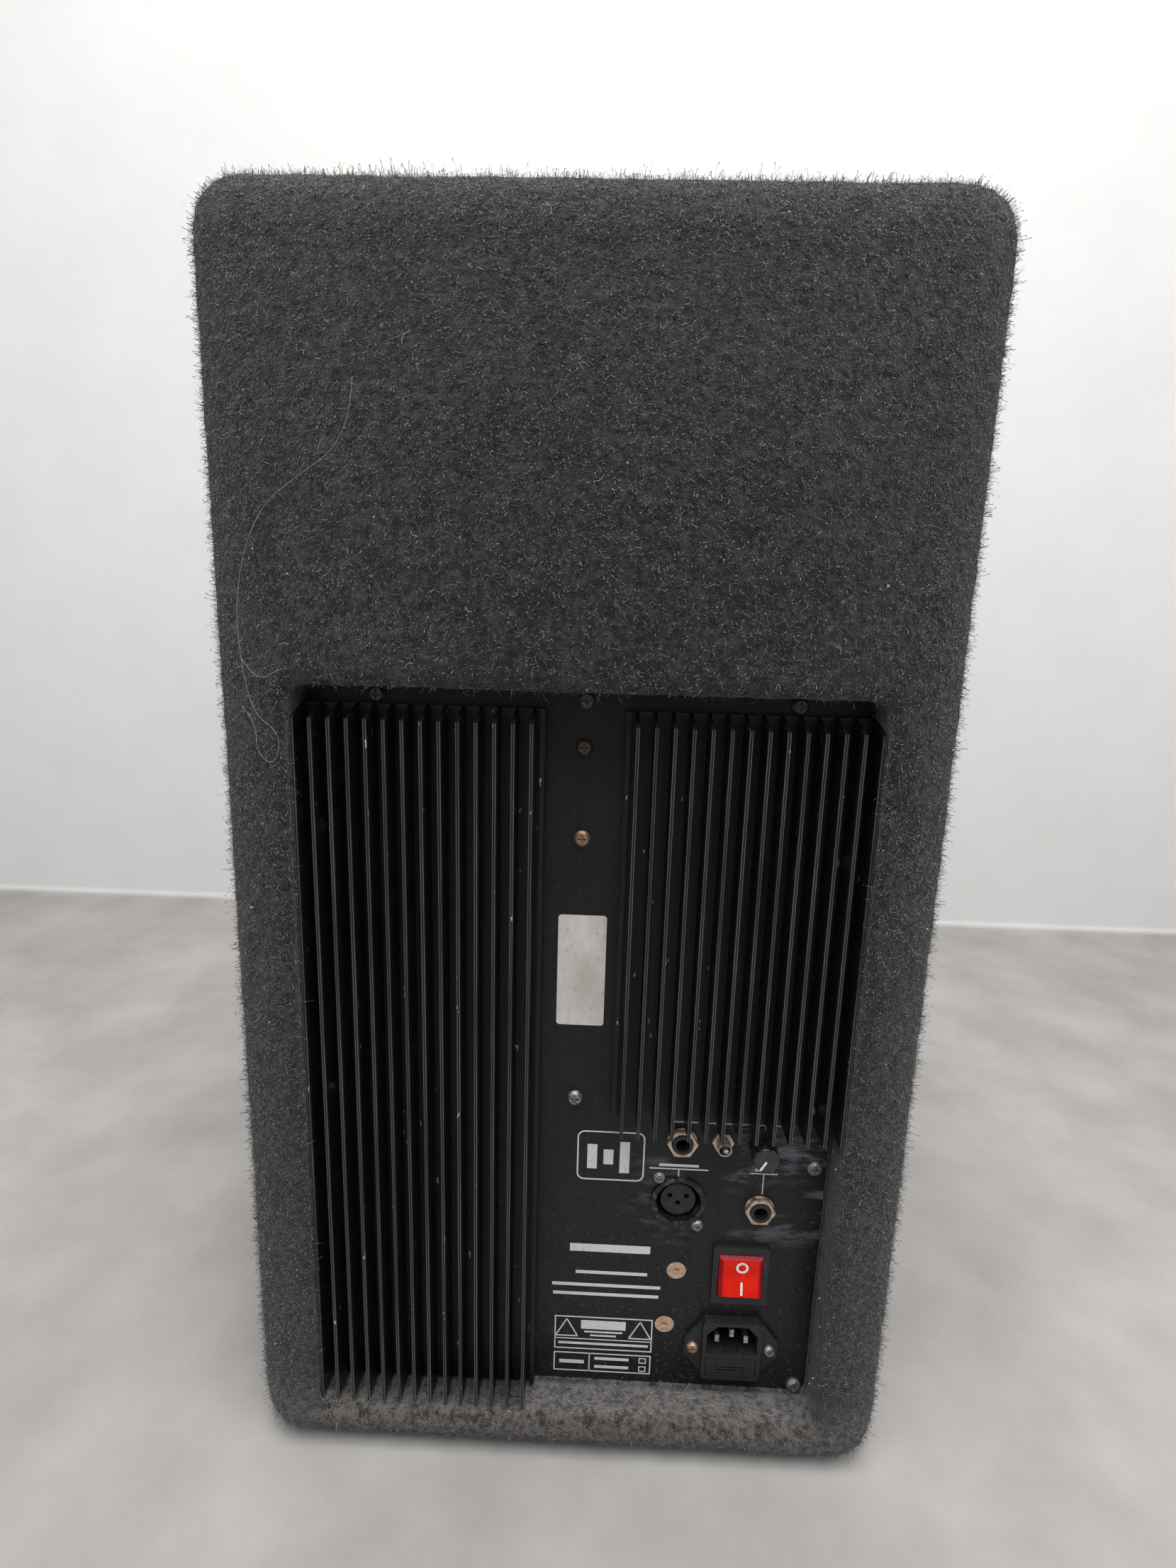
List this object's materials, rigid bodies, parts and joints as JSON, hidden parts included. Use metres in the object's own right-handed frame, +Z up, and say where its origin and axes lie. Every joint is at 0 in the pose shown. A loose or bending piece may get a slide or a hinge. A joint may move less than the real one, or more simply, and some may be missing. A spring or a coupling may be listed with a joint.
{
  "type": "powered loudspeaker cabinet",
  "caption": "Carpet-covered powered loudspeaker with a steel grille in front, a finned amplifier plate sunk into the back, side grips and a pole socket.",
  "frame": {"origin": "middle of the cabinet's footprint, on the floor under its feet", "axes": "+Z up, +Y out of the grille side, -Y out of the amplifier side, +X to the right as seen from behind"},
  "size_m": [0.3, 0.3, 0.547],
  "materials": {
    "plywood": "raw birch plywood",
    "softwood": "planed softwood",
    "carpet": "charcoal needle-felt cabinet carpet",
    "foot_rubber": "matt black rubber",
    "black_screw": "black phosphated steel",
    "dish_plastic": "textured black plastic",
    "grip_steel": "black powder coat",
    "grille_steel": "black powder-coated perforated steel",
    "foam": "black open-cell foam",
    "basket_steel": "black pressed steel",
    "surround_rubber": "treated cloth roll",
    "cone_paper": "doped paper",
    "copper": "enamelled copper on a former",
    "spider_cloth": "resin-dipped cloth",
    "ferrite": "dark ferrite",
    "plated_steel": "zinc plated",
    "panel_black": "satin black anodised aluminium sheet",
    "heatsink_black": "black anodised extrusion",
    "zinc_screw": "dull zinc",
    "rusty_screw": "rusted zinc",
    "circuit_board": "green solder mask",
    "chip_plastic": "moulded epoxy",
    "capacitor_sleeve": "blue shrink sleeve",
    "transformer_tape": "yellow polyester tape",
    "socket_nickel": "nickel plated",
    "nut_brass": "worn nickel over brass",
    "xlr_black": "black chromate",
    "switch_black": "satin black nylon",
    "rocker_red": "translucent red",
    "inlet_black": "satin black thermoplastic",
    "pin_nickel": "nickel plated brass",
    "fuse_glass": "glass tube with metal caps",
    "knob_black": "glossy black with a white pointer"
  },
  "bodies": {
    "cabinet": {"top_board": "plywood", "bottom_board": "plywood", "side_board_left": "plywood", "side_board_right": "plywood", "upper_back_board": "plywood", "rear_rails": "softwood", "panel_battens": "softwood", "front_baffle": "plywood", "carpet_wrap": "carpet", "carpet_back": "carpet", "rubber_feet": "foot_rubber", "case_screws": "black_screw", "pole_socket": "dish_plastic", "handle_dish_left": "dish_plastic", "handle_dish_right": "dish_plastic", "handle_grips": "grip_steel", "grille": "grille_steel", "grille_foam": "foam", "front_screws": "black_screw", "woofer_basket": "basket_steel", "woofer_gasket": "foam", "woofer_magnet": "ferrite", "woofer_top_plate": "plated_steel", "woofer_pole_plate": "plated_steel", "horn_flare": "dish_plastic", "compression_driver": "ferrite", "port_tubes": "dish_plastic", "control_panel": "panel_black", "heatsink_left": "heatsink_black", "heatsink_right": "heatsink_black", "m3_screws": "zinc_screw", "panel_screws": "zinc_screw", "tray_screws": "rusty_screw", "electronics_tray": "plated_steel", "power_amp_boards": "circuit_board", "power_transistors": "chip_plastic", "filter_capacitors": "capacitor_sleeve", "toroidal_transformer": "transformer_tape", "transformer_bolt": "plated_steel", "input_board": "circuit_board", "jack_sockets": "switch_black", "jack_nuts": "nut_brass", "xlr_shell": "xlr_black", "xlr_insert": "xlr_black", "rocker_frame": "switch_black", "inlet_body": "inlet_black", "inlet_pins": "pin_nickel", "toggle_body": "socket_nickel", "control_nuts": "nut_brass", "potentiometer": "plated_steel"},
    "speaker_cone": {"woofer_cone": "cone_paper", "woofer_dust_cap": "cone_paper", "woofer_voice_coil": "copper", "woofer_surround": "surround_rubber", "woofer_spider": "spider_cloth"},
    "power_rocker": {"rocker_paddle": "rocker_red"},
    "mode_toggle": {"toggle_lever": "socket_nickel"},
    "volume_control": {"volume_knob": "knob_black"},
    "fuse_carrier": {"fuse_drawer": "inlet_black", "fuse": "fuse_glass"}
  },
  "joints": [
    {"name": "cone_travel", "type": "slide", "parent": "cabinet", "child": "speaker_cone", "axis": [0, 1, 0], "range_m": [-0.005, 0.005], "stiffness_N_per_m": 2500, "deforming": ["woofer_surround", "woofer_spider"]},
    {"name": "power_rocker_pivot", "type": "hinge", "parent": "cabinet", "child": "power_rocker", "pos_m": [0.0812, -0.1235, 0.0883], "axis": [1, 0, 0], "range_deg": [0, 14]},
    {"name": "mode_toggle_pivot", "type": "hinge", "parent": "cabinet", "child": "mode_toggle", "pos_m": [0.0687, -0.13, 0.1594], "axis": [1, 0, 0], "range_deg": [0, 25]},
    {"name": "volume_turn", "type": "hinge", "parent": "cabinet", "child": "volume_control", "pos_m": [0.0864, -0.1375, 0.1596], "axis": [0, 1, 0], "range_deg": [0, 300]},
    {"name": "fuse_carrier_slide", "type": "slide", "parent": "cabinet", "child": "fuse_carrier", "axis": [0, -1, 0], "range_m": [0, 0.018]}
  ]
}
